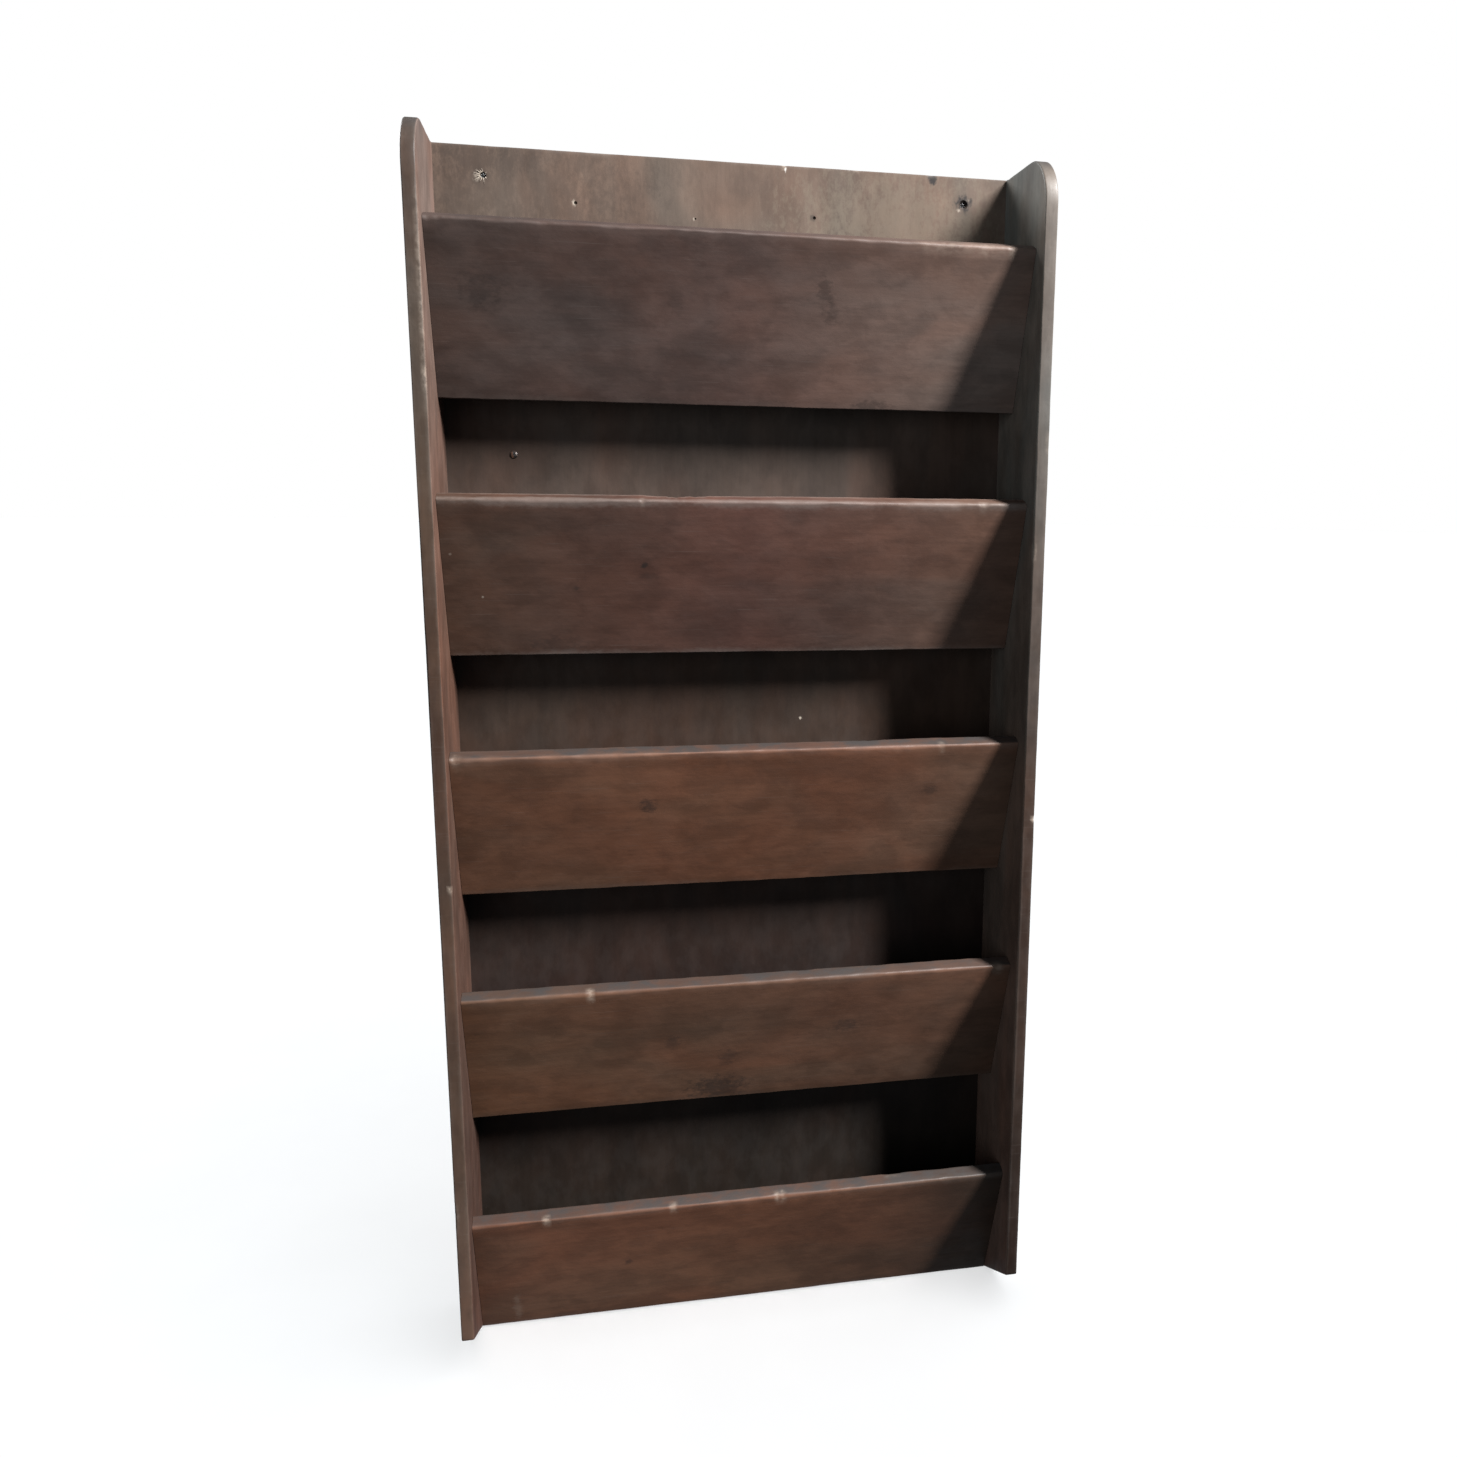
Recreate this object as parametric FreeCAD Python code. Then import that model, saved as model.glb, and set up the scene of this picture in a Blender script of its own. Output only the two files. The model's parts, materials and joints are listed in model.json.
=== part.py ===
import FreeCAD, Part
import math
import os

# Five-tier literature rack of stained boards, screwed to a wall through its plywood back.
#
# Frame, in millimetres: +X is to the right seen from the front, +Y points into the wall, +Z is up.
# The origin is on the back face, midway between the two wall-screw holes.

Vector = FreeCAD.Vector

# ---- Driving dimensions -------------------------------------------------------------------------

RACK_WIDTH = 560.0
RACK_HEIGHT = 1150.0
SIDE_DEPTH = 118.0
SIDE_THICKNESS = 12.0
SIDE_TOP_RADIUS = 46.0
SIDE_FOOT_RISE = 40.0
SIDE_FOOT_REACH = 77.0
BACK_THICKNESS = 5.0

TIER_COUNT = 5
TIER_PITCH = 231.0
SLAT_WIDTH = 154.0
SLAT_THICKNESS = 15.0
SLAT_TILT_DEG = 20.3
SLAT_SETBACK = 20.0
TOP_SLAT_DROP = 80.0
FLOOR_THICKNESS = 12.0
EDGE_EASE = 1.2
SLAT_TOP_EASE = 3.0

WALL_HOLE_SPACING = 450.0
WALL_HOLE_DROP = 25.0
WALL_HOLE_RADIUS = 2.5
WALL_SINK_RADIUS = 4.4
WALL_SINK_DEPTH = 1.8

# Countersunk slotted wood screws through the sides into the ends of the slats and pocket floors.
SCREW_HEAD_RADIUS = 4.1
SCREW_SHANK_RADIUS = 2.0
SCREW_SINK_DEPTH = 2.4
SCREW_LENGTH = 38.0
SCREW_TIP_LENGTH = 6.0
SCREW_TIP_RADIUS = 0.4
SCREW_SLOT_WIDTH = 1.1
SCREW_SLOT_DEPTH = 1.0
SLAT_SCREW_SPREAD = 50.0

# Flat-head panel nails through the back into the sides and pocket floors.
NAIL_HEAD_RADIUS = 1.6
NAIL_HEAD_HEIGHT = 0.8
NAIL_SHANK_RADIUS = 0.8
NAIL_LENGTH = 25.0
NAIL_RISES = (70.0, 150.0)
FLOOR_NAIL_COUNT = 4
FLOOR_NAIL_SPACING = 150.0

# One round-head screw standing in the face of the back, behind the second tier.
BACK_SCREW_X = -207.0
BACK_SCREW_DROP = 271.0
BACK_SCREW_HEAD_RADIUS = 3.4
BACK_SCREW_HEAD_HEIGHT = 2.0
BACK_SCREW_SHANK_RADIUS = 1.6
BACK_SCREW_SHANK_LENGTH = 4.5

# ---- Derived places -----------------------------------------------------------------------------

ORIGIN_HEIGHT = RACK_HEIGHT - WALL_HOLE_DROP
PANEL_FACE_Y = -BACK_THICKNESS
FRONT_EDGE_Y = PANEL_FACE_Y - SIDE_DEPTH
INNER_FACE_X = RACK_WIDTH / 2 - SIDE_THICKNESS
OUTER_FACE_X = RACK_WIDTH / 2
FOOT_Z = -ORIGIN_HEIGHT
TOP_Z = RACK_HEIGHT - ORIGIN_HEIGHT

TILT = math.radians(SLAT_TILT_DEG)
UP_THE_SLAT = Vector(0, -math.sin(TILT), math.cos(TILT))
THROUGH_THE_SLAT = Vector(0, math.cos(TILT), math.sin(TILT))


def slat_corner(tier):
    """Lower front corner of a tier's slat in the YZ plane; tier 0 is the top one."""
    top_front = Vector(0, FRONT_EDGE_Y + SLAT_SETBACK, TOP_Z - TOP_SLAT_DROP - tier * TIER_PITCH)
    return top_front - UP_THE_SLAT * SLAT_WIDTH


def floor_underside(tier):
    """Height of a pocket floor's underside: level with its slat's lower back corner."""
    return slat_corner(tier).z + SLAT_THICKNESS * THROUGH_THE_SLAT.z


def slat_back_y(tier, height):
    """Y of the slat's back face at a given height."""
    lower_back = slat_corner(tier) + THROUGH_THE_SLAT * SLAT_THICKNESS
    return lower_back.y - (height - lower_back.z) * math.tan(TILT)


# ---- Shape helpers ------------------------------------------------------------------------------

def extrude_along_x(edges_or_points, start_x, length):
    """Solid of a closed YZ outline, given as points or as edges, swept along +X."""
    if isinstance(edges_or_points[0], Vector):
        wire = Part.makePolygon(edges_or_points + [edges_or_points[0]])
    else:
        wire = Part.Wire(edges_or_points)
    solid = Part.Face(wire).extrude(Vector(length, 0, 0))
    solid.translate(Vector(start_x, 0, 0))
    return solid


def ease_edges(solid, radius, wanted):
    """Round every straight or curved edge for which wanted(edge) is true."""
    return solid.makeFillet(radius, [edge for edge in solid.Edges if wanted(edge)])


def corner_arc(centre_y, centre_z, radius, start_deg, end_deg):
    """Arc in the YZ plane; angles are measured from +Y towards +Z."""
    def point(degrees):
        angle = math.radians(degrees)
        return Vector(0, centre_y + radius * math.cos(angle), centre_z + radius * math.sin(angle))
    return Part.Arc(point(start_deg), point((start_deg + end_deg) / 2), point(end_deg)).toShape()


def straight(start_y, start_z, end_y, end_z):
    return Part.makeLine(Vector(0, start_y, start_z), Vector(0, end_y, end_z))


def wood_screw(head_point, direction, slot_angle_deg):
    """Countersunk wood screw: head flush at head_point, shank running along direction."""
    sink = Part.makeCone(SCREW_HEAD_RADIUS, SCREW_SHANK_RADIUS, SCREW_SINK_DEPTH)
    shank_length = SCREW_LENGTH - SCREW_SINK_DEPTH - SCREW_TIP_LENGTH
    shank = Part.makeCylinder(SCREW_SHANK_RADIUS, shank_length, Vector(0, 0, SCREW_SINK_DEPTH))
    tip_start = Vector(0, 0, SCREW_LENGTH - SCREW_TIP_LENGTH)
    tip = Part.makeCone(SCREW_SHANK_RADIUS, SCREW_TIP_RADIUS, SCREW_TIP_LENGTH, tip_start)
    body = sink.fuse([shank, tip]).removeSplitter()
    slot_length = 3 * SCREW_HEAD_RADIUS
    slot_corner = Vector(-slot_length / 2, -SCREW_SLOT_WIDTH / 2, 0)
    slot = Part.makeBox(slot_length, SCREW_SLOT_WIDTH, SCREW_SLOT_DEPTH, slot_corner)
    slot.rotate(Vector(0, 0, 0), Vector(0, 0, 1), slot_angle_deg)
    return turned_to(direction, head_point, body), turned_to(direction, head_point, body.cut(slot))


def panel_nail(head_point, direction):
    """Flat-head nail: head flush at head_point, shank running along direction."""
    head = Part.makeCylinder(NAIL_HEAD_RADIUS, NAIL_HEAD_HEIGHT)
    shank_length = NAIL_LENGTH - NAIL_HEAD_HEIGHT
    shank = Part.makeCylinder(NAIL_SHANK_RADIUS, shank_length, Vector(0, 0, NAIL_HEAD_HEIGHT))
    return turned_to(direction, head_point, head.fuse(shank).removeSplitter())


def turned_to(direction, place, shape):
    """Copy of a shape made along +Z, turned to point along direction and moved to place."""
    turned = shape.copy()
    turn = FreeCAD.Rotation(Vector(0, 0, 1), direction)
    turned.Placement = FreeCAD.Placement(place, turn)
    return turned


# ---- Boards -------------------------------------------------------------------------------------

def side_board(start_x):
    """Upright side: top front corner round, foot cut sloping down from toe to heel, arrises eased."""
    top = TOP_Z - SIDE_TOP_RADIUS
    toe = FOOT_Z + SIDE_FOOT_RISE
    top_centre_y = FRONT_EDGE_Y + SIDE_TOP_RADIUS
    heel_y = FRONT_EDGE_Y + SIDE_FOOT_REACH
    outline = [
        straight(PANEL_FACE_Y, FOOT_Z, PANEL_FACE_Y, TOP_Z),
        straight(PANEL_FACE_Y, TOP_Z, top_centre_y, TOP_Z),
        corner_arc(top_centre_y, top, SIDE_TOP_RADIUS, 90, 180),
        straight(FRONT_EDGE_Y, top, FRONT_EDGE_Y, toe),
        straight(FRONT_EDGE_Y, toe, heel_y, FOOT_Z),
        straight(heel_y, FOOT_Z, PANEL_FACE_Y, FOOT_Z),
    ]
    board = extrude_along_x(outline, start_x, SIDE_THICKNESS)

    def front_arris(edge):
        centre = edge.CenterOfMass
        runs_across = abs(centre.x - start_x - SIDE_THICKNESS / 2) < 0.1
        at_back = centre.y > PANEL_FACE_Y - 0.1
        return not runs_across and not at_back
    return ease_edges(board, EDGE_EASE, front_arris)


def front_slat(tier):
    """Tilted front board of one pocket: top arrises rubbed round, lower front arris eased."""
    lower_front = slat_corner(tier)
    upper_front = lower_front + UP_THE_SLAT * SLAT_WIDTH
    through = THROUGH_THE_SLAT * SLAT_THICKNESS
    corners = [lower_front, lower_front + through, upper_front + through, upper_front]
    board = extrude_along_x(corners, -INNER_FACE_X, 2 * INNER_FACE_X)

    def along_rack(edge):
        return abs(edge.CenterOfMass.x) < 0.1

    def top_arris(edge):
        return along_rack(edge) and edge.CenterOfMass.z > lower_front.z + SLAT_WIDTH / 2

    def lower_front_arris(edge):
        return along_rack(edge) and edge.CenterOfMass.distanceToPoint(lower_front) < 0.1
    board = ease_edges(board, SLAT_TOP_EASE, top_arris)
    return ease_edges(board, EDGE_EASE, lower_front_arris)


def pocket_floor(tier):
    """Strip that closes a pocket's bottom, its front edge bevelled to the slat's back face."""
    low = floor_underside(tier)
    high = low + FLOOR_THICKNESS
    corners = [
        Vector(0, slat_back_y(tier, low), low),
        Vector(0, PANEL_FACE_Y, low),
        Vector(0, PANEL_FACE_Y, high),
        Vector(0, slat_back_y(tier, high), high),
    ]
    return extrude_along_x(corners, -INNER_FACE_X, 2 * INNER_FACE_X)


def back_panel():
    """Plywood sheet over the whole back, with two countersunk holes for the wall screws."""
    corner = Vector(-OUTER_FACE_X, PANEL_FACE_Y, FOOT_Z)
    panel = Part.makeBox(RACK_WIDTH, BACK_THICKNESS, RACK_HEIGHT, corner)
    into_wall = Vector(0, 1, 0)
    for side in (-1, 1):
        mouth = Vector(side * WALL_HOLE_SPACING / 2, PANEL_FACE_Y, 0)
        hole = Part.makeCylinder(WALL_HOLE_RADIUS, BACK_THICKNESS, mouth, into_wall)
        sink = Part.makeCone(WALL_SINK_RADIUS, WALL_HOLE_RADIUS, WALL_SINK_DEPTH, mouth, into_wall)
        panel = panel.cut(hole.fuse(sink))
    return panel


# ---- Fasteners ----------------------------------------------------------------------------------

def slat_screw_places(tier):
    """YZ places of the two screws in each end of a slat, at mid-thickness."""
    centre = slat_corner(tier) + UP_THE_SLAT * (SLAT_WIDTH / 2)
    centre += THROUGH_THE_SLAT * (SLAT_THICKNESS / 2)
    return [centre + UP_THE_SLAT * SLAT_SCREW_SPREAD, centre - UP_THE_SLAT * SLAT_SCREW_SPREAD]


def floor_screw_place(tier):
    """YZ place of the screw in each end of a pocket floor, in the middle of its section."""
    height = floor_underside(tier) + FLOOR_THICKNESS / 2
    return Vector(0, (slat_back_y(tier, height) + PANEL_FACE_Y) / 2, height)


def side_screws(places, side):
    """Screws through one side board; returns the hole shapes and the slotted screws."""
    holes = []
    screws = []
    for number, place in enumerate(places):
        head = Vector(side * OUTER_FACE_X, place.y, place.z)
        slot_angle = 37 * number + 12 * side
        hole, screw = wood_screw(head, Vector(-side, 0, 0), slot_angle)
        holes.append(hole)
        screws.append(screw)
    return holes, screws


def side_nails(side):
    """Nails through the back into one side's rear edge, two to a tier."""
    x = side * (OUTER_FACE_X - SIDE_THICKNESS / 2)
    nails = []
    for tier in range(TIER_COUNT):
        for rise in NAIL_RISES:
            head = Vector(x, 0, floor_underside(tier) + rise)
            nails.append(panel_nail(head, Vector(0, -1, 0)))
    return nails


def floor_nails():
    """Nails through the back into the rear edge of each pocket floor."""
    first_x = -FLOOR_NAIL_SPACING * (FLOOR_NAIL_COUNT - 1) / 2
    nails = []
    for tier in range(TIER_COUNT):
        height = floor_underside(tier) + FLOOR_THICKNESS / 2
        for number in range(FLOOR_NAIL_COUNT):
            head = Vector(first_x + number * FLOOR_NAIL_SPACING, 0, height)
            nails.append(panel_nail(head, Vector(0, -1, 0)))
    return nails


def back_screw():
    """Round-head screw: a domed cap on the back panel's face and a shank inside the panel."""
    chord_squared = BACK_SCREW_HEAD_RADIUS ** 2 + BACK_SCREW_HEAD_HEIGHT ** 2
    dome_radius = chord_squared / (2 * BACK_SCREW_HEAD_HEIGHT)
    ball = Part.makeSphere(dome_radius, Vector(0, 0, dome_radius - BACK_SCREW_HEAD_HEIGHT))
    keep = Part.makeCylinder(BACK_SCREW_HEAD_RADIUS * 2, BACK_SCREW_HEAD_HEIGHT,
                             Vector(0, 0, -BACK_SCREW_HEAD_HEIGHT))
    head = ball.common(keep)
    shank = Part.makeCylinder(BACK_SCREW_SHANK_RADIUS, BACK_SCREW_SHANK_LENGTH)
    place = Vector(BACK_SCREW_X, PANEL_FACE_Y, TOP_Z - BACK_SCREW_DROP)
    return turned_to(Vector(0, 1, 0), place, head.fuse(shank).removeSplitter())


# ---- Assembly -----------------------------------------------------------------------------------

def cut_all(board, tools):
    """Board with every tool that reaches it cut out."""
    reaching = [tool for tool in tools if board.BoundBox.intersect(tool.BoundBox)]
    return board.cut(reaching) if reaching else board


def build_rack():
    """All nodes of the rack, by name."""
    tiers = range(TIER_COUNT)
    slat_places = [place for tier in tiers for place in slat_screw_places(tier)]
    floor_places = [floor_screw_place(tier) for tier in tiers]
    nodes = {}
    holes = []
    for name, side in (("left", -1), ("right", 1)):
        for group, places in (("slat_screws", slat_places), ("floor_screws", floor_places)):
            new_holes, screws = side_screws(places, side)
            holes += new_holes
            nodes[f"{group}_{name}"] = Part.makeCompound(screws)
        nails = side_nails(side)
        holes += nails
        nodes[f"back_nails_{name}"] = Part.makeCompound(nails)
    nails = floor_nails()
    holes += nails
    nodes["floor_nails"] = Part.makeCompound(nails)
    nodes["back_screw"] = back_screw()
    holes.append(nodes["back_screw"])

    boards = {
        "side_left": side_board(-OUTER_FACE_X),
        "side_right": side_board(INNER_FACE_X),
        "back_panel": back_panel(),
    }
    for tier in tiers:
        boards[f"front_slat_{tier + 1}"] = front_slat(tier)
        boards[f"pocket_floor_{tier + 1}"] = pocket_floor(tier)
    for name, board in boards.items():
        nodes[name] = cut_all(board, holes)
    return nodes


os.makedirs("parts", exist_ok=True)
for node_name, node_shape in build_rack().items():
    node_shape.exportStep(f"parts/{node_name}.step")
    print(f"{node_name}: {len(node_shape.Solids)} solids, {node_shape.Volume / 1000:.1f} cm3")
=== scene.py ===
import json
import math

import bmesh
import bpy
from mathutils import Euler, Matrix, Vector, noise


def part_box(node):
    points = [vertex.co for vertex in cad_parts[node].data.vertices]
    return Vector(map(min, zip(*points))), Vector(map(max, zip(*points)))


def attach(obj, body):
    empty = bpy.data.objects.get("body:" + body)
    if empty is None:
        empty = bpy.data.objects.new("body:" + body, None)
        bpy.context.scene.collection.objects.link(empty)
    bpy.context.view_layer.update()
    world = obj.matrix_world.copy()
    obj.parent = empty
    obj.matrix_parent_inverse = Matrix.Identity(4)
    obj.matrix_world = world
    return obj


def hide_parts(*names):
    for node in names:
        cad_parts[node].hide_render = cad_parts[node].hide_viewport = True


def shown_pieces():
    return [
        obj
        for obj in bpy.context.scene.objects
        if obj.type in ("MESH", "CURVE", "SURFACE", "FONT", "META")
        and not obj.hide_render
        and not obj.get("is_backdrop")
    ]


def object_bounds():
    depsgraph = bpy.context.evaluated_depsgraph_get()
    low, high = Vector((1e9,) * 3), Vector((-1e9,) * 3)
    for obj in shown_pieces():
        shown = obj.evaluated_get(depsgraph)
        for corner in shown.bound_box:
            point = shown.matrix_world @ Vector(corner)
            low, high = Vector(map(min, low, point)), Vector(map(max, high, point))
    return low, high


# Looks of a five-tier wall rack of dark-stained boards. Metres, in the design's own frame:
# +X right, +Y into the wall, +Z up. Boards are rebuilt round their design solids with worn
# arrises, chips, drilled holes and torn fibres; the screws and nails stay as designed.

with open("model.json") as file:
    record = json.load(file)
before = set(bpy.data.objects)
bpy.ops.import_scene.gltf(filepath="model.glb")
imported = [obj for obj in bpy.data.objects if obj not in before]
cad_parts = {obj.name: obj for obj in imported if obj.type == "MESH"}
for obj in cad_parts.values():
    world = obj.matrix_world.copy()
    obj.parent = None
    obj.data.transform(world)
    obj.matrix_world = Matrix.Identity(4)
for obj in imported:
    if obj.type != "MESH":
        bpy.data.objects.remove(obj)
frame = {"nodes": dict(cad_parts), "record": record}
CAD_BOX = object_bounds()

MM = 0.001
RIGHT = Vector((1, 0, 0))
INTO_WALL = Vector((0, 1, 0))
UP = Vector((0, 0, 1))

TIER_COUNT = 5
SLAT_TILT = math.radians(20.3)
UP_THE_SLAT = Vector((0, -math.sin(SLAT_TILT), math.cos(SLAT_TILT)))
THROUGH_THE_SLAT = Vector((0, math.cos(SLAT_TILT), math.sin(SLAT_TILT)))

SIDE_TOP_RADIUS = 46 * MM
SIDE_FOOT_RISE = 40 * MM
SIDE_FOOT_REACH = 77 * MM
SIDE_TOE_RADIUS = 2.5 * MM
SIDE_HEEL_RADIUS = 3 * MM
SQUARE_CORNER = 1.5 * MM

# Wear reaches FACE_BAND into a face, and GUARD is the first step of it beside an arris.
FACE_BAND = 5 * MM
GUARD = 0.8 * MM
BAND_LIMIT = 0.45
SHALLOW = 1.0 * MM
ARRIS_STEPS = 6
LEAST_RADIUS = 0.15 * MM
SHARP_ANGLE = math.radians(38)
SEED_SPACING = 7.31
CHIP_RAGGEDNESS = 0.8
CHIP_TOOTH = 4 * MM

# Cutters start OVERSHOOT outside a face and are HOLE_CLEARANCE larger than what they make room for.
HOLE_CLEARANCE = 0.25 * MM
OVERSHOOT = 1 * MM

WALL_SCREWS = next(mount for mount in frame["record"]["mounts"] if mount["name"] == "wall_screws")["dims"]
WALL_HOLE_X = WALL_SCREWS["spacing_x_mm"] * MM / 2
WALL_HOLE_RADIUS = WALL_SCREWS["hole_r_mm"] * MM


# ---- Reading the frame

def span(node, direction):
    """Least and greatest reach of a CAD node along a direction."""
    reaches = [vertex.co.dot(direction) for vertex in frame["nodes"][node].data.vertices]
    return min(reaches), max(reaches)


def solids_of(node):
    """Lowest and highest corners of each separate solid in a CAD node."""
    mesh = bmesh.new()
    mesh.from_mesh(frame["nodes"][node].data)
    bmesh.ops.remove_doubles(mesh, verts=mesh.verts, dist=1e-6)
    waiting = set(mesh.verts)
    boxes = []
    while waiting:
        island = {waiting.pop()}
        edge_of_island = list(island)
        while edge_of_island:
            vertex = edge_of_island.pop()
            neighbours = {edge.other_vert(vertex) for edge in vertex.link_edges} - island
            island |= neighbours
            edge_of_island += neighbours
        waiting -= island
        corners = [[pick(v.co[axis] for v in island) for axis in range(3)] for pick in (min, max)]
        boxes.append((Vector(corners[0]), Vector(corners[1])))
    mesh.free()
    return sorted(boxes, key=lambda box: (-box[0].z, box[0].x))


def wander(travel, scale, seed):
    """Smooth noise along a line, about -0.6 to 0.6, with features about scale long."""
    return noise.noise(Vector((travel / scale, seed * SEED_SPACING, 0.5)))


def uneven(travel, seed, waves):
    """A share about 1 that varies along a line; waves are (height, length, shift of the seed)."""
    return sum((height * wander(travel, length, seed + shift) for height, length, shift in waves), 1)


# ---- Mesh tools

def link(name, mesh):
    """Object for a mesh, in the scene."""
    piece = bpy.data.objects.new(name, mesh)
    bpy.context.scene.collection.objects.link(piece)
    return piece


def mesh_from(name, vertices, faces, edge=None, bare=None):
    """Mesh with outward normals, smooth but for its sharp edges, and its two wear values."""
    mesh = bpy.data.meshes.new(name)
    mesh.from_pydata(vertices, [], faces)
    tidy = bmesh.new()
    tidy.from_mesh(mesh)
    bmesh.ops.recalc_face_normals(tidy, faces=tidy.faces)
    tidy.to_mesh(mesh)
    tidy.free()
    for label, values in (("edge", edge), ("bare", bare)):
        attribute = mesh.attributes.new(label, "FLOAT", "POINT")
        attribute.data.foreach_set("value", values or [0.0] * len(vertices))
    shade(mesh)
    return mesh


def shade(mesh):
    """Smooth shading that breaks at sharp edges."""
    mesh.shade_smooth()
    mesh.set_sharp_from_angle(angle=SHARP_ANGLE)


def ring_faces(ring_count, count):
    """Faces through rings of count vertices each, with a cap at both ends."""
    faces = [list(range(count))]
    last = (ring_count - 1) * count
    for start in range(0, last, count):
        for k in range(count):
            following = (k + 1) % count
            faces.append([start + k, start + following, start + count + following, start + count + k])
    return faces + [list(range(last, last + count))]


def skin(name, rings):
    """Closed mesh through rings of (point, edge, bare)."""
    points, edge, bare = zip(*(entry for ring in rings for entry in ring))
    return mesh_from(name, points, ring_faces(len(rings), len(rings[0])), edge, bare)


def bends(corners):
    """Each corner of a convex polygon, the ways to the corners before and after it, and half its angle."""
    for i, corner in enumerate(corners):
        before = (corners[i - 1] - corner).normalized()
        after = (corners[(i + 1) % len(corners)] - corner).normalized()
        yield corner, before, after, before.angle(after) / 2


def inset_polygon(corners, inset):
    """Corners of a convex polygon moved in by the same distance on every side."""
    return [corner + (before + after).normalized() * inset / math.sin(half)
            for corner, before, after, half in bends(corners)]


def rounded_polygon(corners, radii, arc_steps, stations):
    """Points round a convex polygon with rounded corners, as (point, distance to a rounding, corner).

    stations[i] are the fractions, along the straight after corner i, where a point stands.
    corner is the number of the rounded corner that a point is on, or None on a straight."""
    count = len(corners)
    starts, ends, centres = [], [], []
    for radius, (corner, before, after, half) in zip(radii, bends(corners)):
        centres.append(corner + (before + after).normalized() * radius / math.sin(half))
        starts.append(corner + before * radius / math.tan(half))
        ends.append(corner + after * radius / math.tan(half))
    points = []
    for i in range(count):
        first = starts[i] - centres[i]
        last = ends[i] - centres[i]
        turn = first.angle(last)
        for k in range(arc_steps[i] + 1):
            share = k / arc_steps[i]
            spoke = first * math.sin((1 - share) * turn) + last * math.sin(share * turn)
            points.append((centres[i] + spoke / math.sin(turn), 0.0, i))
        straight = starts[(i + 1) % count] - ends[i]
        for share in stations[i]:
            away = min(share, 1 - share) * straight.length
            points.append((ends[i] + straight * share, away, None))
    return points


def even(count):
    """Fractions of count points spaced evenly inside a straight."""
    return [(k + 1) / (count + 1) for k in range(count)]


def closeness(away):
    """1 on an arris, falling to 0 where the worn band of the face ends."""
    return max(0.0, 1 - away / FACE_BAND)


def chip_depth(chips, travel):
    """Extra rounding that a board's chips make at a place along an arris, and how bare the wood is."""
    depth, bare = 0.0, 0.0
    for chip_travel, half_length, chip_size, paleness in chips:
        nearness = 1 - (abs(travel - chip_travel) / (half_length * MM)) ** 2
        if nearness > 0:
            ragged = 1 + CHIP_RAGGEDNESS * wander(travel, CHIP_TOOTH, chip_travel)
            depth = max(depth, chip_size * MM * nearness * ragged)
            bare = max(bare, paleness * nearness * ragged)
    return depth, bare


def turned_solid(profile, place, direction, steps=32):
    """Vertices and faces of a closed solid of revolution; profile is (along, radius) pairs."""
    turn = UP.rotation_difference(direction)
    vertices = []
    for along, radius in profile:
        for k in range(steps):
            angle = 2 * math.pi * k / steps
            local = Vector((radius * math.cos(angle), radius * math.sin(angle), along))
            vertices.append(place + turn @ local)
    return vertices, ring_faces(len(profile), steps)


def joined(name, solids):
    """One mesh of several (vertices, faces) solids."""
    vertices, faces = [], []
    for solid_vertices, solid_faces in solids:
        start = len(vertices)
        vertices += solid_vertices
        faces += [[index + start for index in face] for face in solid_faces]
    return mesh_from(name, vertices, faces)


def cut(piece, solids):
    """Cut solids, given as (vertices, faces), out of a piece."""
    cutter = link("cutter", joined("cutter", solids))
    modifier = piece.modifiers.new("cut", "BOOLEAN")
    modifier.operation = "DIFFERENCE"
    modifier.solver = "EXACT"
    modifier.object = cutter
    whole = piece.evaluated_get(bpy.context.evaluated_depsgraph_get())
    drilled = bpy.data.meshes.new_from_object(whole)
    piece.modifiers.clear()
    piece.data = drilled
    bpy.data.objects.remove(cutter)
    shade(drilled)


def finished(piece, node, material):
    """Put a rebuilt board or fastener in place of its CAD node."""
    piece.data.materials.clear()
    piece.data.materials.append(material)
    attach(piece, "root")
    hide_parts(node)


# ---- Boards swept along the rack: slats and pocket floors

SWEEP_STEP = 1.5 * MM
END_EASE = 0.35 * MM
END_STEPS = (0.4 * MM, 1.6 * MM)


def sweep_places(left, right):
    """X places of a swept board's sections, with close ones at the eased ends."""
    count = round((right - left) / SWEEP_STEP)
    inner = [left + (right - left) * k / count for k in range(1, count)]
    inner = [x for x in inner if left + END_STEPS[1] < x < right - END_STEPS[1]]
    near = [left + step for step in END_STEPS]
    far = [right - step for step in reversed(END_STEPS)]
    return [left] + near + inner + far + [right]


def swept_board(name, left, right, corners, radius_at, stations, across, upward):
    """Board of one YZ section all along X.

    corners are in the across and upward directions; radius_at(x, corner) gives the rounding of
    an arris and how bare its wood is."""
    rings = []
    for x in sweep_places(left, right):
        at_end = x in (left, right)
        inset = END_EASE if at_end else 0.0
        worn = [radius_at(x, corner) for corner in range(len(corners))]
        radii = [max(radius - inset, LEAST_RADIUS) for radius, bare in worn]
        section = inset_polygon(corners, inset)
        steps = [ARRIS_STEPS] * len(corners)
        ring = []
        for point, away, corner in rounded_polygon(section, radii, steps, stations):
            place = RIGHT * x + across * point.x + upward * point.y
            bare = 0.0 if corner is None else worn[corner][1]
            ring.append((place, closeness(away), bare))
        rings.append(ring)
    return link(name, skin(name, rings))


# Arrises of a slat's section, in the order of its corners.
LOWER_FRONT, LOWER_BACK, UPPER_BACK, UPPER_FRONT = range(4)
SLAT_RADII = {LOWER_FRONT: 1.3 * MM, LOWER_BACK: 0.5 * MM, UPPER_BACK: 2.4 * MM, UPPER_FRONT: 3.2 * MM}

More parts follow.
